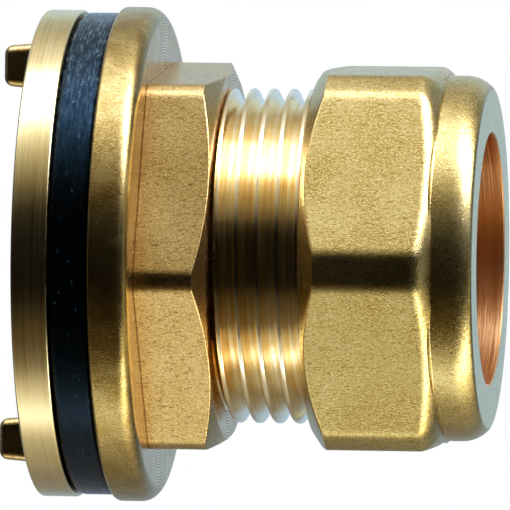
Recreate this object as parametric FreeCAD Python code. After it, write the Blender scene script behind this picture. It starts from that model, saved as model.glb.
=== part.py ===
import FreeCAD, Part
import math
import os

# Tank connector with a compression end for copper pipe.
# X is the axis of the fitting, +X towards the pipe. X = 0 is the sealing face of the flange.
# -Y is the front, +Z is up. All sizes are in millimetres.

# Pipe and thread sizes
pipe_radius = 11.0
tail_thread_radius = 13.22
end_thread_radius = 15.05
thread_pitch = 1.814
thread_depth = 1.4
thread_flank_angle = 27.5

# Clearances
pipe_clearance = 0.1
nut_hole_clearance = 0.3
thread_clearance = 0.1
washer_clearance = 0.2
olive_seat_clearance = 0.15

# Tail, waterway and flange
tail_past_backnut = 1.0
tail_end_chamfer = 0.8
waterway_radius = 9.7
flange_radius = 22.25
flange_thickness = 3.65
flange_back_chamfer = 0.4
flange_front_round = 1.3

# Hexagon of the body
body_hex_flats = 32.9
body_hex_length = 6.2
body_hex_corner_cut = 0.37
body_hex_chamfer_angle = 25.0
body_hex_turn = -7.5

# Compression end and pipe socket
end_thread_length = 12.85
end_thread_chamfer = 0.9
pipe_stop_position = 4.0
mouth_cone_depth = 1.8

# Rubber washer
washer_inset = 0.55
washer_thickness = 3.58
washer_back_chamfer = 0.5
washer_front_chamfer = 0.45

# Backnut and its two lugs
backnut_inset = 0.33
backnut_thickness = 3.22
backnut_edge_chamfer = 0.3
backnut_bore_chamfer = 0.6
lug_count = 2
lug_inner_radius = 14.6
lug_radial_size = 4.4
lug_width = 5.0
lug_length = 3.9
lug_draft_angle = 4.0
lug_round = 0.7

# Compression nut
nut_hex_flats = 33.6
nut_hex_length = 11.9
nut_hex_corner_cut = 0.82
nut_hex_turn = -4.0
nut_back_chamfer_angle = 34.0
nut_shoulder_angle = 22.0
nut_collar_radius = 16.4
nut_collar_length = 3.5
nut_collar_round = 3.0
nut_collar_round_angle = 50.0
nut_lip_length = 3.6
nut_bore_chamfer = 0.5
nut_hole_chamfer = 0.15
nut_engagement = 4.7

# Olive
olive_wall = 1.5
olive_end_wall = 0.35

# Places along the axis, worked out from the sizes
hex_end = flange_thickness + body_hex_length
mouth_face = hex_end + end_thread_length
backnut_front = -washer_thickness
backnut_back = backnut_front - backnut_thickness
tail_end = backnut_back - tail_past_backnut
nut_back = mouth_face - nut_engagement
nut_shoulder = nut_back + nut_hex_length
nut_face = nut_shoulder + nut_collar_length
nut_lip = nut_face - nut_lip_length

# Radii worked out from the sizes
washer_radius = flange_radius - washer_inset
backnut_radius = flange_radius - backnut_inset
socket_radius = pipe_radius + pipe_clearance
nut_hole_radius = pipe_radius + nut_hole_clearance
backnut_bore_radius = tail_thread_radius + thread_clearance
nut_bore_radius = end_thread_radius + thread_clearance
washer_bore_radius = tail_thread_radius + washer_clearance
mouth_radius = socket_radius + mouth_cone_depth

axis_point = FreeCAD.Vector(0, 0, 0)
axis_direction = FreeCAD.Vector(1, 0, 0)


def at(x, r):
    return FreeCAD.Vector(x, 0, r)


def line(x0, r0, x1, r1):
    return Part.makeLine(at(x0, r0), at(x1, r1))


def corner_arc(centre_x, centre_r, radius, start_angle, end_angle):
    middle_angle = (start_angle + end_angle) / 2
    points = []
    for angle in (start_angle, middle_angle, end_angle):
        turn = math.radians(angle)
        points.append(at(centre_x + radius * math.cos(turn), centre_r + radius * math.sin(turn)))
    return Part.Arc(points[0], points[1], points[2]).toShape()


def turned(edges):
    # a solid of revolution about the axis, from the edges of a closed outline
    outline = Part.Wire(Part.__sortEdges__(edges))
    return Part.Face(outline).revolve(axis_point, axis_direction, 360)


def turned_outline(points):
    # a solid of revolution from corner points (x, r)
    edges = []
    for start, end in zip(points, points[1:] + points[:1]):
        edges.append(line(start[0], start[1], end[0], end[1]))
    return turned(edges)


def direction_at(angle):
    # angle 0 is the front, 90 is up
    turn = math.radians(angle)
    return FreeCAD.Vector(0, -math.cos(turn), math.sin(turn))


def hexagon_corner(flats):
    # from the axis to a sharp corner of the hexagon
    return flats / 2 / math.cos(math.radians(30))


def hexagon_bar(flats, turn, start, end):
    corners = []
    for side in range(7):
        corners.append(direction_at(turn + 60 * side) * hexagon_corner(flats) + axis_direction * start)
    return Part.Face(Part.makePolygon(corners)).extrude(axis_direction * (end - start))


def thread_grooves(radius, start, end):
    # the thread as separate V grooves, one for each turn
    half_width = thread_depth * math.tan(math.radians(thread_flank_angle))
    grooves = []
    centre = start + thread_pitch / 2
    while centre + half_width < end:
        groove = turned_outline([
            (centre - half_width, radius),
            (centre, radius - thread_depth),
            (centre + half_width, radius),
            (centre + half_width, radius + thread_depth),
            (centre - half_width, radius + thread_depth),
        ])
        grooves.append(groove)
        centre += thread_pitch
    return grooves


def make_body():
    tail = turned_outline([
        (tail_end, 0),
        (tail_end, tail_thread_radius - tail_end_chamfer),
        (tail_end + tail_end_chamfer, tail_thread_radius),
        (flange_thickness, tail_thread_radius),
        (flange_thickness, 0),
    ])
    round_start = flange_thickness - flange_front_round
    round_centre = flange_radius - flange_front_round
    flange = turned([
        line(0, 0, 0, flange_radius - flange_back_chamfer),
        line(0, flange_radius - flange_back_chamfer, flange_back_chamfer, flange_radius),
        line(flange_back_chamfer, flange_radius, round_start, flange_radius),
        corner_arc(round_start, round_centre, flange_front_round, 90, 0),
        line(flange_thickness, round_centre, flange_thickness, 0),
        line(flange_thickness, 0, 0, 0),
    ])
    # the turned blank leaves a narrow round land along each corner of the hexagon
    hexagon = hexagon_bar(body_hex_flats, body_hex_turn, flange_thickness / 2, hex_end)
    blank_radius = hexagon_corner(body_hex_flats) - body_hex_corner_cut
    chamfer_length = (blank_radius - body_hex_flats / 2) * math.tan(math.radians(body_hex_chamfer_angle))
    turned_blank = turned_outline([
        (flange_thickness / 2, 0),
        (flange_thickness / 2, blank_radius),
        (hex_end - chamfer_length, blank_radius),
        (hex_end, body_hex_flats / 2),
        (hex_end, 0),
    ])
    hexagon = hexagon.common(turned_blank)
    end = turned_outline([
        (flange_thickness, 0),
        (flange_thickness, end_thread_radius),
        (mouth_face - end_thread_chamfer, end_thread_radius),
        (mouth_face, end_thread_radius - end_thread_chamfer),
        (mouth_face, 0),
    ])
    tail = tail.cut(thread_grooves(tail_thread_radius, tail_end, 0))
    end = end.cut(thread_grooves(end_thread_radius, hex_end, mouth_face))
    waterway = turned_outline([
        (tail_end - 1, 0),
        (tail_end - 1, waterway_radius),
        (pipe_stop_position, waterway_radius),
        (pipe_stop_position, socket_radius),
        (mouth_face - mouth_cone_depth, socket_radius),
        (mouth_face, mouth_radius),
        (mouth_face + 1, mouth_radius),
        (mouth_face + 1, 0),
    ])
    return flange.fuse([tail, hexagon, end]).removeSplitter().cut(waterway)


def make_sealing_washer():
    back = -washer_thickness
    return turned_outline([
        (back, washer_bore_radius),
        (back, washer_radius - washer_back_chamfer),
        (back + washer_back_chamfer, washer_radius),
        (-washer_front_chamfer, washer_radius),
        (0, washer_radius - washer_front_chamfer),
        (0, washer_bore_radius),
    ])


def make_lug(angle):
    # a forged lug, tapered from its root inside the backnut to its rounded tip
    outward = direction_at(angle)
    across = axis_direction.cross(outward)
    sections = []
    root = lug_round
    for depth in (-root, lug_length):
        shrink = depth * math.tan(math.radians(lug_draft_angle))
        inner = lug_inner_radius + shrink
        outer = lug_inner_radius + lug_radial_size - shrink
        half = lug_width / 2 - shrink
        place = axis_direction * (backnut_back - depth)
        corners = []
        for radius, side in ((inner, -half), (outer, -half), (outer, half), (inner, half), (inner, -half)):
            corners.append(place + outward * radius + across * side)
        sections.append(Part.makePolygon(corners))
    lug = Part.makeLoft(sections, True, True)
    rounded = [edge for edge in lug.Edges if edge.BoundBox.XMin < backnut_back]
    return lug.makeFillet(lug_round, rounded)


def make_backnut():
    blank = turned_outline([
        (backnut_back, backnut_bore_radius + backnut_bore_chamfer),
        (backnut_back, backnut_radius - backnut_edge_chamfer),
        (backnut_back + backnut_edge_chamfer, backnut_radius),
        (backnut_front - backnut_edge_chamfer, backnut_radius),
        (backnut_front, backnut_radius - backnut_edge_chamfer),
        (backnut_front, backnut_bore_radius + backnut_bore_chamfer),
        (backnut_front - backnut_bore_chamfer, backnut_bore_radius),
        (backnut_back + backnut_bore_chamfer, backnut_bore_radius),
    ])
    lugs = [make_lug(90 + 360 / lug_count * number) for number in range(lug_count)]
    return blank.fuse(lugs).removeSplitter()


def make_compression_nut():
    blank_radius = hexagon_corner(nut_hex_flats) - nut_hex_corner_cut
    back_radius = nut_bore_radius + 2 * nut_bore_chamfer
    chamfer_length = (blank_radius - back_radius) * math.tan(math.radians(nut_back_chamfer_angle))
    shoulder_length = (blank_radius - nut_collar_radius) * math.tan(math.radians(nut_shoulder_angle))
    blank = turned_outline([
        (nut_back, 0),
        (nut_back, back_radius),
        (nut_back + chamfer_length, blank_radius),
        (nut_shoulder - shoulder_length, blank_radius),
        (nut_shoulder, nut_collar_radius),
        (nut_shoulder, 0),
    ])
    hexagon = hexagon_bar(nut_hex_flats, nut_hex_turn, nut_back, nut_shoulder)
    # the collar is crowned towards the end face and meets it at an edge
    crown_angle = math.radians(nut_collar_round_angle)
    crown_start = nut_face - nut_collar_round * math.sin(crown_angle)
    crown_centre = nut_collar_radius - nut_collar_round
    crown_end = crown_centre + nut_collar_round * math.cos(crown_angle)
    collar_start = nut_shoulder - shoulder_length
    collar = turned([
        line(collar_start, 0, collar_start, nut_collar_radius),
        line(collar_start, nut_collar_radius, crown_start, nut_collar_radius),
        corner_arc(crown_start, crown_centre, nut_collar_round, 90, 90 - nut_collar_round_angle),
        line(nut_face, crown_end, nut_face, 0),
        line(nut_face, 0, collar_start, 0),
    ])
    seat_length = nut_bore_radius - nut_hole_radius
    bore = turned_outline([
        (nut_back - 1, 0),
        (nut_back - 1, nut_bore_radius + nut_bore_chamfer),
        (nut_back, nut_bore_radius + nut_bore_chamfer),
        (nut_back + nut_bore_chamfer, nut_bore_radius),
        (nut_lip - seat_length, nut_bore_radius),
        (nut_lip, nut_hole_radius),
        (nut_face - nut_hole_chamfer, nut_hole_radius),
        (nut_face, nut_hole_radius + nut_hole_chamfer),
        (nut_face + 1, nut_hole_radius + nut_hole_chamfer),
        (nut_face + 1, 0),
    ])
    return blank.common(hexagon).fuse(collar).removeSplitter().cut(bore)


def make_olive():
    # each end is a cone that lies on the cone of the body's mouth or of the nut's seat
    inner = socket_radius
    outer = inner + olive_wall
    end = inner + olive_end_wall
    mouth_line = mouth_face - mouth_cone_depth - socket_radius + olive_seat_clearance
    seat_line = nut_lip + nut_hole_radius - olive_seat_clearance
    return turned_outline([
        (mouth_line + end, inner),
        (mouth_line + end, end),
        (mouth_line + outer, outer),
        (seat_line - outer, outer),
        (seat_line - end, end),
        (seat_line - end, inner),
    ])


os.makedirs("parts", exist_ok=True)
pieces = {
    "body": make_body(),
    "sealing_washer": make_sealing_washer(),
    "backnut": make_backnut(),
    "compression_nut": make_compression_nut(),
    "olive": make_olive(),
}
for name, shape in pieces.items():
    shape.exportStep("parts/" + name + ".step")
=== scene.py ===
import bpy
import bmesh
import math
from mathutils import Matrix, Vector


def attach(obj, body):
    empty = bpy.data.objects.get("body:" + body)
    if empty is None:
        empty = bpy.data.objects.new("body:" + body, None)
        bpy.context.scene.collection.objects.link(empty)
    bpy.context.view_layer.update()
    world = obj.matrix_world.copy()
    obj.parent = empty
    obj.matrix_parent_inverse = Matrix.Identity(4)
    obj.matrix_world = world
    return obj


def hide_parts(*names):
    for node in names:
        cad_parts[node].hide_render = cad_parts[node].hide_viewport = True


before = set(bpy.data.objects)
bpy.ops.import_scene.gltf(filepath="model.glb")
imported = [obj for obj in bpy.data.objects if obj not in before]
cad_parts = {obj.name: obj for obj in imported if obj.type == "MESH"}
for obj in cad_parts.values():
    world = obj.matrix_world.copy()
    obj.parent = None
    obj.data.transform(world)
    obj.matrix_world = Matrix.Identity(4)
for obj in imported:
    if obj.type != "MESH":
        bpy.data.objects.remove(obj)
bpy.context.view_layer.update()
mm = 0.001
mergeGap = 0.001 * mm  # points nearer than this become one
latheSteps = 192  # facets round a turned piece
hexSteps = 360  # facets round a blank that gets flats
toolPast = 1  # mm that a cutting tool reaches past the piece
trimLift = 0.25  # mm that a thread's trim stands clear of the crests
middleX = 0.012  # middle of the part along its axis
print("frame loaded:", ", ".join(sorted(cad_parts)))


# hand tools for the modelling
def deselectAll():
    if bpy.context.object and bpy.context.object.mode != "OBJECT":
        bpy.ops.object.mode_set(mode="OBJECT")
    bpy.ops.object.select_all(action="DESELECT")


def pickUp(piece):
    deselectAll()
    piece.select_set(True)
    bpy.context.view_layer.objects.active = piece


def openUp(piece):
    # into edit mode, with all of the piece selected
    pickUp(piece)
    bpy.ops.object.mode_set(mode="EDIT")
    bpy.ops.mesh.select_mode(type="VERT")
    bpy.ops.mesh.select_all(action="SELECT")


def closeUp():
    bpy.ops.object.mode_set(mode="OBJECT")


def selectWhere(piece, kind, wanted):
    # edges or faces of the open piece, picked one by one
    bpy.ops.mesh.select_mode(type=kind)
    bpy.ops.mesh.select_all(action="DESELECT")
    skin = bmesh.from_edit_mesh(piece.data)
    for part in skin.edges if kind == "EDGE" else skin.faces:
        if wanted(part):
            part.select_set(True)
    bmesh.update_edit_mesh(piece.data)


def edgeMiddle(edge):
    return (edge.verts[0].co + edge.verts[1].co) / 2 / mm


def arcPoints(centreX, centreR, radius, fromAngle, toAngle, count):
    points = []
    for number in range(count + 1):
        turn = math.radians(fromAngle + (toAngle - fromAngle) * number / count)
        points.append((centreX + radius * math.cos(turn), centreR + radius * math.sin(turn)))
    return points


def straightRun(first, last, count):
    # points from first to last, the last one left out
    return [
        (first[0] + (last[0] - first[0]) * number / count, first[1] + (last[1] - first[1]) * number / count)
        for number in range(count)
    ]


def drawOutline(name, outline):
    # one point pulled along the outline, in the upright plane through the axis
    deselectAll()
    bpy.ops.mesh.primitive_plane_add(size=mm)
    piece = bpy.context.object
    piece.name = name
    openUp(piece)
    bpy.ops.mesh.merge(type="CENTER")
    bpy.ops.transform.translate(value=(outline[0][0] * mm, 0, outline[0][1] * mm))
    for (x0, r0), (x1, r1) in zip(outline, outline[1:]):
        step = ((x1 - x0) * mm, 0, (r1 - r0) * mm)
        bpy.ops.mesh.extrude_vertices_move(TRANSFORM_OT_translate={"value": step})
    bpy.ops.mesh.select_all(action="SELECT")
    return piece


def closeSkin():
    bpy.ops.mesh.select_all(action="SELECT")
    bpy.ops.mesh.remove_doubles(threshold=mergeGap)
    bpy.ops.mesh.normals_make_consistent(inside=False)


def turnOnLathe(name, outline, steps=latheSteps):
    piece = drawOutline(name, outline)
    bpy.ops.mesh.spin(steps=steps, angle=2 * math.pi, center=(0, 0, 0), axis=(1, 0, 0))
    closeSkin()
    closeUp()
    return piece


def softMin(first, second, soft):
    blend = max(soft - abs(first - second), 0) / soft
    return min(first, second) - blend * blend * soft / 4


def pressHexagon(piece, flats, turn, softness, shoulder=None):
    # a turned blank gets its flats, and soft edges where they meet what was turned
    pressDepth = 3  # further in than this the blank stays as it is
    for vertex in piece.data.vertices:
        x = vertex.co.x / mm
        radius = math.hypot(vertex.co.y, vertex.co.z) / mm
        if radius < flats / 2 - pressDepth:
            continue
        angle = math.degrees(math.atan2(vertex.co.z, -vertex.co.y)) - turn
        reach = flats / 2 / math.cos(math.radians((angle % 60) - 30))
        pressed = softMin(radius, reach, softness)
        if shoulder:
            pressed = shoulder(x, pressed)
        vertex.co.y *= pressed / radius
        vertex.co.z *= pressed / radius
    piece.data.update()


def combine(piece, tool, how):
    pickUp(piece)
    joint = piece.modifiers.new("combine", "BOOLEAN")
    joint.operation = how
    joint.solver = "MANIFOLD"
    joint.object = tool
    bpy.ops.object.modifier_apply(modifier=joint.name)
    bpy.data.objects.remove(tool)


def cutThread(name, thread, start, end, grow=0):
    # one pitch of the thread's profile, wound up by the Screw modifier
    pitch = thread["pitch"]
    root = thread["crestAtTop"] - pitch / 2
    first = root + math.floor((start - root) / pitch - 1) * pitch
    outline = []
    for number in range(thread["profileSteps"] + 1):
        share = number / thread["profileSteps"] - 0.5
        fall = (abs(share) - thread["crest"]) / (0.5 - thread["crest"] - thread["root"])
        fall = min(max(fall, 0), 1)
        outline.append((first + (share + 0.5) * pitch, thread["radius"] + grow - thread["depth"] * fall))
    rod = drawOutline(name, outline)
    pickUp(rod)
    winding = rod.modifiers.new("winding", "SCREW")
    winding.axis = "X"
    winding.angle = 2 * math.pi
    winding.screw_offset = pitch * mm
    winding.iterations = math.ceil((end - first) / pitch) + 1
    winding.steps = thread["turnSteps"]
    winding.render_steps = thread["turnSteps"]
    bpy.ops.object.modifier_apply(modifier=winding.name)
    openUp(rod)
    closeSkin()
    middle = (start + end) / 2
    for way in (-1, 1):  # a point on the axis closes each end
        selectWhere(
            rod, "EDGE", lambda edge: len(edge.link_faces) == 1 and (edgeMiddle(edge).x - middle) * way > 0
        )
        bpy.ops.mesh.extrude_edges_move(TRANSFORM_OT_translate={"value": (way * pitch * mm, 0, 0)})
        bpy.ops.mesh.merge(type="CENTER")
    closeSkin()
    closeUp()
    return rod


def isSquare(normal):
    # a face that is cut square to the axis
    return abs(normal.x) > 0.99


def giveFinish(piece, material, wanted=None):
    # the material goes on all faces, or on those whose x, radius and normal are wanted
    def isWanted(face):
        middle = face.calc_center_median() / mm
        return wanted is None or wanted(middle.x, math.hypot(middle.y, middle.z), face.normal)

    piece.data.materials.append(material)
    piece.active_material_index = len(piece.data.materials) - 1
    openUp(piece)
    selectWhere(piece, "FACE", isWanted)
    bpy.ops.object.material_slot_assign()
    closeUp()


def finishSkin(piece, sharpAngle=32):
    # slivers from the cuts are merged, then smooth shading that leaves flats flat
    openUp(piece)
    closeSkin()
    bpy.ops.mesh.dissolve_degenerate(threshold=mergeGap)
    closeUp()
    bpy.ops.object.shade_smooth_by_angle(angle=math.radians(sharpAngle))
    levelling = piece.modifiers.new("levelling", "WEIGHTED_NORMAL")
    levelling.keep_sharp = True
    levelling.weight = 60
    bpy.ops.object.modifier_apply(modifier=levelling.name)


def onBody(piece, body, node):
    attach(piece, body)
    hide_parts(node)
    print("made", piece.name, len(piece.data.polygons), "faces")


# node tools for the finishes
def addNode(tree, kind, **settings):
    node = tree.nodes.new(kind)
    for key, value in settings.items():
        if key in node.inputs:
            node.inputs[key].default_value = value
        else:
            setattr(node, key, value)
    return node


def noiseAt(tree, place, stretch, detail=2.0, rough=0.5, turn=(0, 0, 0)):
    # noise whose grain is 1/stretch metres along each axis
    mapping = addNode(tree, "ShaderNodeMapping", vector_type="POINT")
    mapping.inputs["Scale"].default_value = stretch
    mapping.inputs["Rotation"].default_value = turn
    tree.links.new(place, mapping.inputs["Vector"])
    noise = addNode(tree, "ShaderNodeTexNoise", Scale=1.0, Detail=detail, Roughness=rough)
    tree.links.new(mapping.outputs["Vector"], noise.inputs["Vector"])
    return noise.outputs["Fac"]


def mathNode(tree, operation, first, second=None):
    node = addNode(tree, "ShaderNodeMath", operation=operation)
    for socket, value in zip(node.inputs, (first, second)):
        if value is None:
            continue
        if isinstance(value, (int, float)):
            socket.default_value = value
        else:
            tree.links.new(value, socket)
    return node.outputs[0]


def rampNode(tree, value, stops):
    ramp = addNode(tree, "ShaderNodeValToRGB")
    elements = ramp.color_ramp.elements
    while len(elements) < len(stops):
        elements.new(0.5)
    for element, (position, colour) in zip(elements, stops):
        element.position = position
        element.color = (*colour, 1)
    tree.links.new(value, ramp.inputs["Fac"])
    return ramp.outputs["Color"]


def rangeNode(tree, value, low, high, toLow, toHigh):
    node = addNode(tree, "ShaderNodeMapRange")
    for socket, amount in zip(list(node.inputs)[1:5], (low, high, toLow, toHigh)):
        socket.default_value = amount
    tree.links.new(value, node.inputs[0])
    return node.outputs[0]


def bumpNode(tree, height, strength, depth, below=None):
    bump = addNode(tree, "ShaderNodeBump", Strength=strength, Distance=depth * mm)
    tree.links.new(height, bump.inputs["Height"])
    if below is not None:
        tree.links.new(below, bump.inputs["Normal"])
    return bump.outputs["Normal"]


def splitPlace(tree, place):
    parts = addNode(tree, "ShaderNodeSeparateXYZ")
    tree.links.new(place, parts.inputs[0])
    return parts.outputs["X"], parts.outputs["Y"], parts.outputs["Z"]


def distanceNode(tree, first, second):
    squares = [mathNode(tree, "MULTIPLY", side, side) for side in (first, second)]
    return mathNode(tree, "SQRT", mathNode(tree, "ADD", *squares))


def newFinish(name):
    material = bpy.data.materials.new(name)
    material.use_nodes = True
    tree = material.node_tree
    place = addNode(tree, "ShaderNodeTexCoord").outputs["Object"]
    return material, tree, tree.nodes["Principled BSDF"], place


def metalFinish(tree, shader, colour, roughness, normal):
    shader.inputs["Metallic"].default_value = 1.0
    tree.links.new(colour, shader.inputs["Base Color"])
    tree.links.new(roughness, shader.inputs["Roughness"])
    tree.links.new(normal, shader.inputs["Normal"])


def tintStops(tints, deepAt, middleAt, brightAt):
    return [(deepAt, tints["deep"]), (middleAt, tints["middle"]), (brightAt, tints["bright"])]


# forging skin: grain is lines to the metre, tone shifts the tint, depths are in mm
forgedSkin = {
    "pitGrain": (2600, 2600, 2600), "pitRange": (0.68, 0.76), "pitTone": 0.15, "pitBump": 0.4,
    "nickGrain": (1500, 3000, 6500), "nickRange": (0.64, 0.70), "nickTone": 0.2, "nickLeans": (0.5, -0.4),
    "scratchGrain": (450, 1200, 7000), "scratchRange": (0.74, 0.78), "scratchBump": 0.15,
    "scratchLeans": (0.6, -0.9), "scratchDepth": 0.01, "grainBump": 0.85, "grainDepth": 0.02,
    "tintsAt": (0.28, 0.5, 0.70), "rougher": 0.03, "smoother": 0.02,
    # the crease keys set a painted shade: a thin dark line where a crease lies in shadow
    "creaseShadeFrom": 0.03, "creaseShadeTo": 0.09, "creaseShadeTone": 0.6, "creaseShadeAt": 0.12, "creaseShadeColour": (0.22, 0.10, 0.03),
}


def forgedBrass(name, tints, grain, roughness, creaseAt=None, stainScale=170, stainShare=0.2):
    # satin, with fine grain, small pits, short scratches and stains, and painted shade along a crease
    skin = forgedSkin
    material, tree, shader, place = newFinish(name)
    fine = noiseAt(tree, place, (grain * 0.8, grain, grain), 2, 0.6)
    pits = rangeNode(tree, noiseAt(tree, place, skin["pitGrain"], 1, 0.5), *skin["pitRange"], 0, 1)
    stain = noiseAt(tree, place, (stainScale, stainScale, stainScale), 3, 0.55)
    tone = mathNode(tree, "ADD", fine, rangeNode(tree, stain, 0.2, 0.8, -stainShare / 2, stainShare / 2))
    tone = mathNode(tree, "SUBTRACT", tone, mathNode(tree, "MULTIPLY", pits, skin["pitTone"]))
    for lean in skin["nickLeans"]:
        nicks = noiseAt(tree, place, skin["nickGrain"], 1, 0.5, (0.1, lean, 0.1))
        dark = rangeNode(tree, nicks, *skin["nickRange"], 0, skin["nickTone"])
        tone = mathNode(tree, "SUBTRACT", tone, dark)
    stops = tintStops(tints, *skin["tintsAt"])
    # painted shade: darker just past creaseAt, where the hexagon meets the flange face
    if creaseAt is not None:
        x, y, z = splitPlace(tree, place)
        creaseShadeEnds = ((creaseAt + skin["creaseShadeFrom"]) * mm, (creaseAt + skin["creaseShadeTo"]) * mm)
        tone = mathNode(tree, "SUBTRACT", tone, rangeNode(tree, x, *creaseShadeEnds, skin["creaseShadeTone"], 0))
        stops = [(skin["creaseShadeAt"], skin["creaseShadeColour"])] + stops
    normal = bumpNode(tree, fine, skin["grainBump"], skin["grainDepth"])
    hollows = mathNode(tree, "MULTIPLY", pits, -1)
    normal = bumpNode(tree, hollows, skin["pitBump"], skin["grainDepth"], normal)
    for lean in skin["scratchLeans"]:
        scratch = noiseAt(tree, place, skin["scratchGrain"], 1, 0.4, (0.2, lean, 0.1))
        groove = rangeNode(tree, scratch, *skin["scratchRange"], 1, 0)
        normal = bumpNode(tree, groove, skin["scratchBump"], skin["scratchDepth"], normal)
    gloss = rangeNode(tree, stain, 0.3, 0.7, roughness - skin["smoother"], roughness + skin["rougher"])
    metalFinish(tree, shader, rampNode(tree, tone, stops), gloss, normal)
    return material


def turnedBrass(name, tints, marksAcross, roughness, strength, depth=0.03):
    # off the lathe, with its marks running round the axis
    marksRound = 55
    material, tree, shader, place = newFinish(name)
    marks = noiseAt(tree, place, (marksAcross, marksRound, marksRound), 3, 0.6)
    stain = noiseAt(tree, place, (220, 220, 220), 3, 0.6)
    halves = [mathNode(tree, "MULTIPLY", part, 0.5) for part in (marks, stain)]
    colour = rampNode(tree, mathNode(tree, "ADD", *halves), tintStops(tints, 0.32, 0.5, 0.7))
    gloss = rangeNode(tree, marks, 0.3, 0.7, roughness - 0.05, roughness + 0.05)
    metalFinish(tree, shader, colour, gloss, bumpNode(tree, marks, strength, depth))
    return material


def facedBrass(name, tints, ringPitch, roughness):
    # a face cut on the lathe: fine rings round the axis, their grooves painted dark as shade
    material, tree, shader, place = newFinish(name)
    x, y, z = splitPlace(tree, place)
    wander = noiseAt(tree, place, (500, 500, 500), 2, 0.5)
    turns = mathNode(tree, "MULTIPLY", distanceNode(tree, y, z), 2 * math.pi / (ringPitch * mm))
    rings = mathNode(tree, "SINE", mathNode(tree, "ADD", turns, wander))
    # the deep tint in the grooves is painted shade
    stops = [(0.25, tints["bright"]), (0.55, tints["middle"]), (0.88, tints["deep"])]
    colour = rampNode(tree, rangeNode(tree, rings, -1, 1, 0, 1), stops)
    gloss = rangeNode(tree, wander, 0.3, 0.7, roughness - 0.04, roughness + 0.04)
    metalFinish(tree, shader, colour, gloss, bumpNode(tree, rings, 0.25, 0.01))
    return material


rubberSkin = {
    "streakGrain": (5200, 420, 420), "streakBump": 0.7, "streakDepth": 0.05, "roughness": (0.16, 0.32),
    "speckGrain": (2600, 1500, 1500), "speckRange": (0.70, 0.77), "speckTone": 0.5,
    "mottleGrain": (4200, 800, 800), "mottleRange": (0.34, 0.68), "leastMottle": 0.1,
    # the upper and lower sheen heights, in metres, bound where the painted sheen lies
    "upperSheen": (0.004, 0.014), "lowerSheen": (-0.018, -0.009), "lowerShare": 0.4,
    "tints": [
        (0.1, (0.0003, 0.0004, 0.0006)), (0.35, (0.002, 0.007, 0.013)),
        (0.62, (0.012, 0.030, 0.049)), (0.95, (0.092, 0.135, 0.165)),
    ],
    "shine": 0.2, "shineTint": (0.30, 0.66, 1.0),
}


def mouldedRubber(name, skin):
    # black, with a painted bluish sheen towards its top and bottom that a random mottle breaks up, short
    # streaks round its rim and pale specks
    material, tree, shader, place = newFinish(name)
    streaks = noiseAt(tree, place, skin["streakGrain"], 4, 0.7)
    specks = rangeNode(tree, noiseAt(tree, place, skin["speckGrain"], 1, 0.5), *skin["speckRange"], 0, 1)
    x, y, z = splitPlace(tree, place)
    # painted sheen: lighter and bluer towards the top and, less so, towards the bottom, where light falls,
    # and dark at mid-height
    upper = rangeNode(tree, z, *skin["upperSheen"], 0, 1)
    lower = rangeNode(tree, z, *skin["lowerSheen"], skin["lowerShare"], 0)
    mottle = noiseAt(tree, place, skin["mottleGrain"], 4, 0.75)
    mottle = rangeNode(tree, mottle, *skin["mottleRange"], skin["leastMottle"], 1)
    dustAndSheen = mathNode(tree, "MULTIPLY", mathNode(tree, "ADD", upper, lower), mottle)
    tone = mathNode(tree, "ADD", dustAndSheen, mathNode(tree, "MULTIPLY", specks, skin["speckTone"]))
    tree.links.new(rampNode(tree, tone, skin["tints"]), shader.inputs["Base Color"])
    tree.links.new(rangeNode(tree, streaks, 0.3, 0.7, *skin["roughness"]), shader.inputs["Roughness"])
    shader.inputs["Specular IOR Level"].default_value = skin["shine"]
    shader.inputs["Specular Tint"].default_value = (*skin["shineTint"], 1)
    normal = bumpNode(tree, streaks, skin["streakBump"], skin["streakDepth"])
    tree.links.new(normal, shader.inputs["Normal"])
    return material


brassTints = {"deep": (0.46, 0.29, 0.085), "middle": (0.61, 0.42, 0.155), "bright": (0.76, 0.57, 0.27)}
flangeTints = {"deep": (0.34, 0.22, 0.055), "middle": (0.45, 0.315, 0.10), "bright": (0.57, 0.42, 0.165)}
hexTints = {"deep": (0.38, 0.235, 0.06), "middle": (0.575, 0.39, 0.135), "bright": (0.77, 0.57, 0.25)}
threadTints = {"deep": (0.80, 0.60, 0.32), "middle": (0.93, 0.80, 0.53), "bright": (0.99, 0.92, 0.74)}
faceTints = {"deep": (0.18, 0.085, 0.03), "middle": (0.78, 0.485, 0.165), "bright": (0.95, 0.63, 0.235)}
rimTints = {"deep": (0.64, 0.485, 0.20), "middle": (0.79, 0.63, 0.31), "bright": (0.85, 0.70, 0.38)}
nutTints = {"deep": (0.40, 0.27, 0.065), "middle": (0.60, 0.445, 0.155), "bright": (0.80, 0.64, 0.29)}
endTints = {"deep": (0.70, 0.55, 0.24), "middle": (0.92, 0.76, 0.38), "bright": (0.99, 0.90, 0.55)}
# the bore's tints are redder than the brass's: a painted reflection of light bounced round inside the nut's
# hole
boreTints = {"deep": (0.68, 0.295, 0.08), "middle": (0.81, 0.40, 0.14), "bright": (0.92, 0.54, 0.24)}
copperTints = {"deep": (0.62, 0.27, 0.15), "middle": (0.78, 0.38, 0.23), "bright": (0.88, 0.50, 0.34)}

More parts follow.
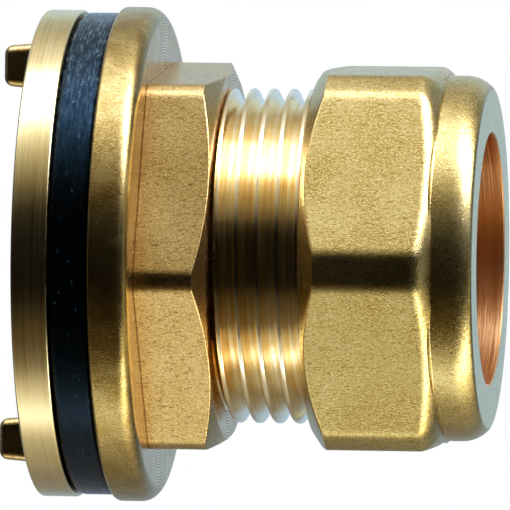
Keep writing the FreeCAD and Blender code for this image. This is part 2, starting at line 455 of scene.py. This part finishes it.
# the hexagon gets painted shade in its crease with the flange, at x = 3.65 mm
hexBrass = forgedBrass("hexBrass", hexTints, 7000, 0.28, creaseAt=3.65)
flangeBrass = forgedBrass("flangeBrass", flangeTints, 7500, 0.25, stainScale=460, stainShare=0.45)
threadBrass = turnedBrass("threadBrass", threadTints, 5200, 0.12, 0.15)
faceBrass = facedBrass("faceBrass", faceTints, 0.27, 0.26)
boreBrass = turnedBrass("boreBrass", boreTints, 9000, 0.33, 0.7, 0.05)
waterwayBrass = turnedBrass("waterwayBrass", brassTints, 5200, 0.26, 0.4, 0.04)
rimBrass = turnedBrass("rimBrass", rimTints, 6500, 0.22, 0.1)
lugBrass = forgedBrass("lugBrass", brassTints, 6000, 0.25)
nutBrass = forgedBrass("nutBrass", nutTints, 7000, 0.27)
endBrass = forgedBrass("endBrass", endTints, 7000, 0.27)
washerRubber = mouldedRubber("washerRubber", rubberSkin)
oliveCopper = turnedBrass("oliveCopper", copperTints, 3600, 0.22, 0.3)
print("finishes ready")


# body: flange, spanner hexagon, threaded compression end and threaded tail
endThread = {
    "radius": 15.05, "depth": 1.4, "crest": 0.09, "root": 0.03, "pitch": 1.814, "crestAtTop": 11.86,
    "profileSteps": 20, "turnSteps": 96,
}
tailThread = {
    "radius": 13.22, "depth": 1.4, "crest": 0.09, "root": 0.03, "pitch": 1.814, "crestAtTop": -6.0,
    "profileSteps": 12, "turnSteps": 96,
}
bodySizes = {
    "tailEnd": -7.8, "tailChamfer": 0.8, "tailCore": 11.4, "tailRoot": 0.5, "threadPast": 0.6,
    "flangeRadius": 22.25, "flangeThickness": 3.65, "backChamfer": 0.4, "frontRound": 1.5,
    "hexFlats": 32.9, "hexEnd": 9.85, "hexCorner": 18.63, "hexTurn": -7.5, "hexChamferAngle": 25,
    "hexSoft": 0.16, "hexFaceInner": 14.0, "endCore": 13.4, "coreInset": 0.2, "endRoot": 1.8, "endStart": 1.3,
    "mouthFace": 22.7, "mouthChamfer": 0.9, "mouthCone": 1.8,
    "waterway": 9.7, "socket": 11.1, "pipeStop": 4.0,
    "insideTo": 11.8, "coneTo": 12.95, "coneDepth": 2, "hexFrom": 14.2,  # where one finish ends
}


def makeBody(sizes):
    flange = sizes["flangeRadius"]
    thick = sizes["flangeThickness"]
    back = sizes["backChamfer"]
    front = sizes["frontRound"]
    tailEnd = sizes["tailEnd"]
    hexEnd = sizes["hexEnd"]
    mouth = sizes["mouthFace"]
    coreStart = tailEnd + sizes["coreInset"]
    coreEnd = mouth - sizes["coreInset"]
    outline = [(coreStart, 0), (coreStart, sizes["tailCore"]), (0, sizes["tailCore"]), (0, flange - back)]
    outline += arcPoints(back, flange - back, back, 180, 90, 4)
    outline += arcPoints(thick - front, flange - front, front, 90, 0, 10)
    outline += [(thick, sizes["endCore"]), (coreEnd, sizes["endCore"]), (coreEnd, 0)]
    body = turnOnLathe("connectorBody", outline)

    corner = sizes["hexCorner"]
    inner = sizes["hexFlats"] / 2
    chamferStart = hexEnd - (corner - inner) * math.tan(math.radians(sizes["hexChamferAngle"]))
    outline = [(thick / 2, 0)]
    outline += straightRun((thick / 2, corner), (chamferStart, corner), 24)
    outline += straightRun((chamferStart, corner), (hexEnd, inner), 24)
    outline += straightRun((hexEnd, inner), (hexEnd, sizes["hexFaceInner"]), 6)
    outline += [(hexEnd, 0)]
    hexagon = turnOnLathe("hexagon", outline, hexSteps)
    pressHexagon(hexagon, sizes["hexFlats"], sizes["hexTurn"], sizes["hexSoft"])
    combine(body, hexagon, "UNION")

    end = cutThread("endThread", endThread, hexEnd - sizes["endStart"], mouth + sizes["threadPast"])
    crest = endThread["radius"]
    chamfer = sizes["mouthChamfer"]
    root = hexEnd - sizes["endRoot"]
    trim = turnOnLathe("endTrim", [
        (root, 0), (root, crest + trimLift), (mouth - chamfer - trimLift, crest + trimLift),
        (mouth, crest - chamfer), (mouth, 0),
    ])
    combine(end, trim, "INTERSECT")
    combine(body, end, "UNION")

    tail = cutThread("tailThread", tailThread, tailEnd - sizes["threadPast"], sizes["threadPast"])
    crest = tailThread["radius"]
    chamfer = sizes["tailChamfer"]
    root = sizes["tailRoot"]
    trim = turnOnLathe("tailTrim", [
        (tailEnd, 0), (tailEnd, crest - chamfer), (tailEnd + chamfer + trimLift, crest + trimLift),
        (root, crest + trimLift), (root, 0),
    ])
    combine(tail, trim, "INTERSECT")
    combine(body, tail, "UNION")

    waterway = sizes["waterway"]
    socket = sizes["socket"]
    cone = sizes["mouthCone"]
    bore = turnOnLathe("bore", [
        (tailEnd - toolPast, 0), (tailEnd - toolPast, waterway), (sizes["pipeStop"], waterway),
        (sizes["pipeStop"], socket), (mouth - cone, socket),
        (mouth + toolPast, socket + cone + toolPast), (mouth + toolPast, 0),
    ])
    combine(body, bore, "DIFFERENCE")

    inside = sizes["insideTo"]
    giveFinish(body, flangeBrass)
    giveFinish(body, faceBrass, lambda x, r, n: isSquare(n) and r > inside)
    giveFinish(
        body, hexBrass,
        lambda x, r, n: thick + 0.05 < x < hexEnd + 0.05 and r > sizes["hexFrom"] and not isSquare(n),
    )
    giveFinish(
        body, threadBrass, lambda x, r, n: (x > hexEnd or x < -0.01) and r > inside and not isSquare(n)
    )
    giveFinish(
        body, waterwayBrass,
        lambda x, r, n: r < inside or (x > mouth - sizes["coneDepth"] and r < sizes["coneTo"]),
    )
    finishSkin(body)
    onBody(body, "fitting", "body")


# rubber washer, its edges rounded by the mould
washerSizes = {"bore": 13.42, "radius": 21.7, "thickness": 3.58, "backRound": 0.75, "frontRound": 0.6}


def makeWasher(sizes):
    back = -sizes["thickness"]
    far = sizes["backRound"]
    near = sizes["frontRound"]
    outline = [(back, sizes["bore"])]
    outline += arcPoints(back + far, sizes["radius"] - far, far, 180, 90, 6)
    outline += arcPoints(-near, sizes["radius"] - near, near, 90, 0, 6)
    outline += [(0, sizes["bore"]), (back, sizes["bore"])]
    washer = turnOnLathe("sealingWasher", outline)
    giveFinish(washer, washerRubber)
    finishSkin(washer, 40)
    onBody(washer, "washer", "sealing_washer")


# backnut: a turned disc with two forged lugs and the tail's thread inside
backnutSizes = {
    "radius": 21.92, "back": -6.8, "front": -3.58, "edge": 0.22,
    "bore": 13.32, "boreChamfer": 0.6, "frontEase": 0.4,
    "crestTrim": 0.06, "threadPast": 0.5, "threadTo": 13.9,
    "lugInner": 14.6, "lugRadial": 4.4, "lugWidth": 5.0, "lugLength": 3.9, "lugRoot": 0.8,
    "lugTaper": 0.9, "lugSlope": 0.82, "lugRound": 0.75,
}


def makeLug(sizes):
    root = sizes["back"] + sizes["lugRoot"]
    depth = sizes["lugLength"] + sizes["lugRoot"]
    radial = sizes["lugRadial"]
    deselectAll()
    bpy.ops.mesh.primitive_cube_add(size=mm)
    lug = bpy.context.object
    lug.name = "lug"
    openUp(lug)
    bpy.ops.transform.resize(value=(depth, sizes["lugWidth"], radial), center_override=(0, 0, 0))
    selectWhere(lug, "FACE", lambda face: face.normal.x < -0.9)
    tip = (-depth / 2 * mm, 0, 0)
    bpy.ops.transform.resize(value=(1, sizes["lugTaper"], sizes["lugSlope"]), center_override=tip)
    bpy.ops.mesh.select_all(action="SELECT")
    bpy.ops.transform.translate(value=((root - depth / 2) * mm, 0, (sizes["lugInner"] + radial / 2) * mm))
    selectWhere(lug, "EDGE", lambda edge: edgeMiddle(edge).x < root - 0.1)
    bpy.ops.mesh.bevel(offset=sizes["lugRound"] * mm, segments=5, affect="EDGES")
    closeUp()
    return lug


def makeBacknut(sizes):
    back = sizes["back"]
    front = sizes["front"]
    edge = sizes["edge"]
    outline = [(back, 0)]
    outline += arcPoints(back + edge, sizes["radius"] - edge, edge, 180, 90, 4)
    outline += arcPoints(front - edge, sizes["radius"] - edge, edge, 90, 0, 4)
    outline += [(front, 0)]
    backnut = turnOnLathe("tankBacknut", outline)
    combine(backnut, makeLug(sizes), "UNION")
    lower = makeLug(sizes)
    openUp(lower)
    bpy.ops.transform.rotate(value=math.pi, orient_axis="X", center_override=(0, 0, 0))
    closeUp()
    combine(backnut, lower, "UNION")

    wide = sizes["bore"] + sizes["boreChamfer"]
    minor = sizes["bore"] - tailThread["depth"] + sizes["crestTrim"]
    fall = wide - minor
    ease = sizes["frontEase"]
    bore = turnOnLathe("backnutBore", [
        (back - toolPast, 0), (back - toolPast, wide + toolPast), (back + fall, minor),
        (front - fall + ease, minor), (front + toolPast, wide + toolPast - ease), (front + toolPast, 0),
    ])
    combine(backnut, bore, "DIFFERENCE")
    past = sizes["threadPast"]
    room = sizes["bore"] - tailThread["radius"]
    combine(backnut, cutThread("backnutThread", tailThread, back - past, front + past, room), "DIFFERENCE")

    giveFinish(backnut, rimBrass)
    giveFinish(backnut, faceBrass, lambda x, r, n: isSquare(n) and x > back - 0.05)
    giveFinish(backnut, lugBrass, lambda x, r, n: x < back - 0.03)
    giveFinish(backnut, threadBrass, lambda x, r, n: r < sizes["threadTo"] and x > back and not isSquare(n))
    finishSkin(backnut)
    onBody(backnut, "tank_nut", "backnut")


# compression nut: rounded forged hexagon with a round collar
nutSizes = {
    "hexFlats": 33.6, "turn": -4.0, "back": 18.0, "shoulder": 29.9, "face": 33.4,
    "backRadius": 16.15, "backAngle": 34, "backInner": 15.0, "blankRadius": 18.58, "edgeSoft": 0.22,
    "shoulderAngle": 22, "shoulderLength": 2.4, "shoulderSoft": 3.2, "shoulderStep": 0.2,
    "collarRadius": 16.4, "collarRound": 3.0, "roundAngle": 50, "collarRoot": 2.5, "collarSink": 0.4,
    "rootFillet": 0.2, "filletBack": 0.25, "filletSink": 0.15,
    "edgeTurn": 4, "edgeBack": 0.05, "edgeIn": 0.12,
    "bore": 15.15, "boreChamfer": 0.5, "crestTrim": 0.06, "threadPast": 0.5, "threadLength": 6,
    "lip": 29.8, "hole": 11.3, "holeChamfer": 0.12,
    "threadTo": 15.2, "threadEnd": 2.9, "holeTo": 14.1, "holeFrom": 4,  # where one finish ends
}


def makeNut(sizes):
    back = sizes["back"]
    backRadius = sizes["backRadius"]
    blankRadius = sizes["blankRadius"]
    shoulder = sizes["shoulder"]
    collar = sizes["collarRadius"]
    face = sizes["face"]
    chamferEnd = back + (blankRadius - backRadius) * math.tan(math.radians(sizes["backAngle"]))
    fineStart = shoulder - sizes["shoulderLength"]
    outline = [(back, 0)]
    outline += straightRun((back, sizes["backInner"]), (back, backRadius), 4)
    outline += straightRun((back, backRadius), (chamferEnd, blankRadius), 22)
    outline += straightRun((chamferEnd, blankRadius), (fineStart, blankRadius), 16)
    outline += straightRun((fineStart, blankRadius), (shoulder, blankRadius), 40)
    outline += [(shoulder, blankRadius), (shoulder, 0)]
    nut = turnOnLathe("compressionNut", outline, hexSteps)
    fall = 1 / math.tan(math.radians(sizes["shoulderAngle"]))

    def roundOff(x, radius):
        # the shoulder's cone, with a soft edge to the flats
        return softMin(radius, collar + (shoulder + sizes["shoulderStep"] - x) * fall, sizes["shoulderSoft"])

    pressHexagon(nut, sizes["hexFlats"], sizes["turn"], sizes["edgeSoft"], roundOff)

    fillet = sizes["rootFillet"]
    filletStart = shoulder - sizes["filletBack"]
    root = shoulder - sizes["collarRoot"]
    crown = sizes["collarRound"]
    swing = sizes["roundAngle"]
    crownStart = face - crown * math.sin(math.radians(swing))
    crownEnd = collar - crown + crown * math.cos(math.radians(swing))
    outline = [(root, 0), (root, collar - sizes["collarSink"])]
    outline += [(filletStart, collar + fillet - sizes["filletSink"])]
    outline += arcPoints(filletStart + fillet, collar + fillet, fillet, 180, 270, 5)
    outline += arcPoints(crownStart, collar - crown, crown, 90, 90 - swing + sizes["edgeTurn"], 20)
    outline += [(face - sizes["edgeBack"], crownEnd - 0.01), (face, crownEnd - sizes["edgeIn"]), (face, 0)]
    combine(nut, turnOnLathe("collar", outline), "UNION")

    minor = sizes["bore"] - endThread["depth"] + sizes["crestTrim"]
    wide = sizes["bore"] + sizes["boreChamfer"]
    hole = sizes["hole"]
    lip = sizes["lip"]
    ease = sizes["holeChamfer"]
    bore = turnOnLathe("nutBore", [
        (back - toolPast, 0), (back - toolPast, wide + toolPast), (back + wide - minor, minor),
        (lip - (minor - hole), minor), (lip, hole), (face - ease, hole),
        (face + toolPast, hole + ease + toolPast), (face + toolPast, 0),
    ])
    combine(nut, bore, "DIFFERENCE")
    start = back - sizes["threadPast"]
    end = back + sizes["threadLength"]
    room = sizes["bore"] - endThread["radius"]
    combine(nut, cutThread("nutThread", endThread, start, end, room), "DIFFERENCE")

    threadEnd = shoulder - sizes["threadEnd"]
    holeFrom = shoulder - sizes["holeFrom"]
    giveFinish(nut, nutBrass)
    giveFinish(nut, endBrass, lambda x, r, n: x > face - 0.1 and n.x > 0.98)
    giveFinish(nut, threadBrass, lambda x, r, n: r < sizes["threadTo"] and x < threadEnd)
    giveFinish(nut, boreBrass, lambda x, r, n: r < sizes["holeTo"] and x > holeFrom and n.x < 0.9)
    finishSkin(nut)
    onBody(nut, "pipe_nut", "compression_nut")


# olive: copper ring with a cone at each end
oliveSizes = {"start": 21.4, "end": 29.5, "inner": 11.1, "outer": 12.6, "endWall": 0.35, "crown": 0.12}


def makeOlive(sizes):
    crownSteps = 8
    rim = sizes["inner"] + sizes["endWall"]
    rise = sizes["outer"] - sizes["inner"] - sizes["endWall"]
    first = sizes["start"] + rise
    last = sizes["end"] - rise
    outline = [(sizes["start"], sizes["inner"]), (sizes["start"], rim)]
    for number in range(crownSteps + 1):
        share = number / crownSteps
        dip = sizes["crown"] * (1 - math.sin(math.pi * share))
        outline.append((first + (last - first) * share, sizes["outer"] - dip))
    outline += [(sizes["end"], rim), (sizes["end"], sizes["inner"]), (sizes["start"], sizes["inner"])]
    olive = turnOnLathe("pipeOlive", outline)
    giveFinish(olive, oliveCopper)
    finishSkin(olive)
    onBody(olive, "olive_ring", "olive")


makeBody(bodySizes)
makeWasher(washerSizes)
makeBacknut(backnutSizes)
makeNut(nutSizes)
makeOlive(oliveSizes)


# floor: a pale disc below the part that fades out at its rim
floorSizes = {
    "radius": 0.24, "height": -0.030, "colour": (0.80, 0.80, 0.79), "fadeFrom": 0.06, "fadeTo": 0.23,
}


def makeFloor(sizes):
    deselectAll()
    bpy.ops.mesh.primitive_circle_add(
        vertices=96, radius=sizes["radius"], fill_type="NGON", location=(middleX, 0, sizes["height"])
    )
    floor = bpy.context.object
    floor.name = "floor"
    bpy.ops.object.transform_apply(location=True, rotation=True, scale=True)
    material, tree, shader, place = newFinish("paleFloor")
    shader.inputs["Base Color"].default_value = (*sizes["colour"], 1)
    shader.inputs["Roughness"].default_value = 0.8
    shift = addNode(tree, "ShaderNodeMapping")
    shift.inputs["Location"].default_value = (-middleX, 0, 0)
    tree.links.new(place, shift.inputs["Vector"])
    x, y, z = splitPlace(tree, shift.outputs["Vector"])
    fade = rangeNode(tree, distanceNode(tree, x, y), sizes["fadeFrom"], sizes["fadeTo"], 1, 0)
    tree.links.new(fade, shader.inputs["Alpha"])
    floor.data.materials.append(material)
    floor.visible_glossy = False


# tent: the cards and soft boxes that stand round the part, as its polish shows them
tentSizes = {
    "radius": 0.6, "length": 30.0, "level": 5.0,
    "leftSide": 0.12, "leftAt": (-0.8, -0.35),
    "rightSide": 6.0, "rightAt": (0.12, 0.6), "highFrom": (58, 68), "lowFrom": (-80, -70), "lowShare": 0.95,
    "plainRight": 0.5, "plainAt": (0.1, 0.5), "farRight": 0.04, "farAt": (0.8, 1.3),
    "backRight": 0.2, "backAt": (0.1, 0.6), "lowRight": 2.0, "lowAt": (-0.5, -0.3), "frontAt": (-0.05, 0.25),
}
tentBands = [  # degrees round the axis, 0 at the front and 90 overhead, and the colour there
    (-180, (0.48, 0.69, 0.92)), (-150, (0.30, 0.32, 0.34)), (-130, (0.27, 0.26, 0.24)),
    (-112, (0.44, 0.42, 0.36)), (-98, (0.54, 0.51, 0.43)), (-90, (1.02, 0.98, 0.86)),
    (-84, (1.80, 1.98, 2.25)), (-79, (1.70, 1.88, 2.1)), (-74, (1.15, 1.13, 1.03)),
    (-68, (0.80, 0.77, 0.67)), (-63, (0.66, 0.62, 0.50)), (-55, (0.18, 0.15, 0.11)),
    (-44, (0.115, 0.09, 0.052)), (-34, (0.07, 0.055, 0.034)), (-22, (0.006, 0.005, 0.004)),
    (16, (0.005, 0.004, 0.003)), (24, (0.035, 0.03, 0.02)), (34, (0.23, 0.20, 0.14)),
    (45, (0.52, 0.48, 0.37)), (51, (0.80, 0.77, 0.62)), (56, (1.15, 1.12, 1.00)),
    (61, (1.85, 1.92, 2.05)), (66, (2.9, 3.2, 4.4)), (90, (2.8, 3.1, 4.2)),
    (99, (1.2, 1.20, 1.20)), (116, (0.68, 0.67, 0.63)), (132, (0.49, 0.50, 0.49)),
    (150, (0.66, 0.82, 0.94)), (180, (0.48, 0.69, 0.92)),
]


def makeTent(sizes, bands):
    deselectAll()
    bpy.ops.mesh.primitive_cylinder_add(
        vertices=96, radius=sizes["radius"], depth=sizes["length"], end_fill_type="NOTHING",
        rotation=(0, math.pi / 2, 0),
    )
    tent = bpy.context.object
    tent.name = "lightTent"
    bpy.ops.object.transform_apply(location=True, rotation=True, scale=True)
    material, tree, shader, place = newFinish("tentCards")
    x, y, z = splitPlace(tree, place)
    angle = mathNode(tree, "ARCTAN2", z, mathNode(tree, "MULTIPLY", y, -1))
    share = rangeNode(tree, angle, -math.pi, math.pi, 0, 1)
    level = sizes["level"]
    stops = [((turn + 180) / 360, tuple(part / level for part in colour)) for turn, colour in bands]
    glow = addNode(tree, "ShaderNodeEmission")
    tree.links.new(rampNode(tree, share, stops), glow.inputs["Color"])
    left = rangeNode(tree, x, *sizes["leftAt"], level * sizes["leftSide"], level)
    # at the front's right side the high and low lights are stronger, up to where they end
    high = rangeNode(tree, angle, *map(math.radians, sizes["highFrom"]), 0, 1)
    low = rangeNode(tree, angle, *map(math.radians, sizes["lowFrom"]), sizes["lowShare"], 0)
    more = rangeNode(tree, x, *sizes["rightAt"], 0, sizes["rightSide"] - 1)
    plain = rangeNode(tree, x, *sizes["plainAt"], 1, sizes["plainRight"])
    right = mathNode(tree, "ADD", mathNode(tree, "MULTIPLY", more, mathNode(tree, "ADD", high, low)), plain)
    right = mathNode(tree, "MULTIPLY", right, rangeNode(tree, x, *sizes["farAt"], 1, sizes["farRight"]))
    # at the back's right side it is dim, apart from what lies low
    behind = rangeNode(tree, x, *sizes["backAt"], 1, sizes["backRight"])
    under = rangeNode(tree, z, *sizes["lowAt"], sizes["lowRight"], 0)
    under = mathNode(tree, "MULTIPLY", under, rangeNode(tree, x, *sizes["backAt"], 0, 1))
    behind = mathNode(tree, "ADD", behind, under)
    isFront = rangeNode(tree, y, *sizes["frontAt"], 1, 0)
    gain = mathNode(tree, "MULTIPLY", mathNode(tree, "SUBTRACT", right, behind), isFront)
    both = mathNode(tree, "ADD", behind, gain)
    tree.links.new(mathNode(tree, "MULTIPLY", left, both), glow.inputs["Strength"])
    tree.nodes.remove(shader)
    tree.links.new(glow.outputs[0], tree.nodes["Material Output"].inputs["Surface"])
    tent.data.materials.append(material)
    tent.visible_camera = False
    tent.visible_diffuse = False
    tent.visible_transmission = False
    tent.visible_shadow = False


# two soft lamps that the polish doesn't show
lampSizes = {
    "overheadLamp": {"place": (0.05, -0.25, 0.7), "size": 0.6, "power": 7},
    "lowLamp": {"place": (0.1, -0.5, -0.4), "size": 0.5, "power": 2},
}


def makeLamp(name, sizes):
    deselectAll()
    bpy.ops.object.light_add(type="AREA", location=sizes["place"])
    lamp = bpy.context.object
    lamp.name = name
    lamp.data.shape = "SQUARE"
    lamp.data.size = sizes["size"]
    lamp.data.energy = sizes["power"]
    aim = Vector((middleX, 0, 0)) - Vector(sizes["place"])
    lamp.rotation_euler = aim.to_track_quat("-Z", "Y").to_euler()
    lamp.visible_glossy = False


worldLevels = {"onSurfaces": 0.45, "seen": 1.0}


def makeWorld(levels):
    world = bpy.data.worlds.new("paleStudio")
    bpy.context.scene.world = world
    world.use_nodes = True
    tree = world.node_tree
    rays = addNode(tree, "ShaderNodeLightPath")
    seen = mathNode(tree, "MAXIMUM", rays.outputs["Is Camera Ray"], rays.outputs["Is Glossy Ray"])
    seen = mathNode(tree, "MAXIMUM", seen, rays.outputs["Is Transmission Ray"])
    background = tree.nodes["Background"]
    background.inputs["Color"].default_value = (1, 1, 1, 1)
    strength = rangeNode(tree, seen, 0, 1, levels["onSurfaces"], levels["seen"])
    tree.links.new(strength, background.inputs["Strength"])


# camera: long lens, level with the axis and a little to the pipe's side
cameraSizes = {
    "azimuth": 8.28, "roll": 0.79, "distance": 1.0, "from": (0.4, 0, 0), "aim": (11.85, 1.67, 0.056),
    "pixelsPerMm": 11.1, "imageWidth": 510, "sensorWidth": 36,
}


def makeCamera(sizes):
    azimuth = math.radians(sizes["azimuth"])
    roll = math.radians(sizes["roll"])
    away = Vector((math.sin(azimuth), -math.cos(azimuth), 0))
    place = Vector(sizes["from"]) * mm + away * sizes["distance"]
    ahead = (Vector(sizes["aim"]) * mm - place).normalized()
    side = ahead.cross(Vector((0, 0, 1))).normalized()
    rise = side.cross(ahead)
    right = side * math.cos(roll) + rise * math.sin(roll)
    up = rise * math.cos(roll) - side * math.sin(roll)
    deselectAll()
    bpy.ops.object.camera_add()
    camera = bpy.context.object
    camera.name = "photoCamera"
    camera.data.sensor_width = sizes["sensorWidth"]
    imageSpan = sizes["imageWidth"] / sizes["pixelsPerMm"] * mm  # what the picture's width covers
    camera.data.lens = sizes["distance"] / imageSpan * sizes["sensorWidth"]
    camera.data.clip_end = 10
    turn = Matrix((right, up, -ahead)).transposed()
    camera.matrix_world = Matrix.Translation(place) @ turn.to_4x4()
    bpy.context.scene.camera = camera


makeFloor(floorSizes)
makeTent(tentSizes, tentBands)
for lampName, lampSize in lampSizes.items():
    makeLamp(lampName, lampSize)
makeWorld(worldLevels)
makeCamera(cameraSizes)
bpy.context.scene.view_settings.view_transform = "Standard"
print("light and camera set")

deselectAll()
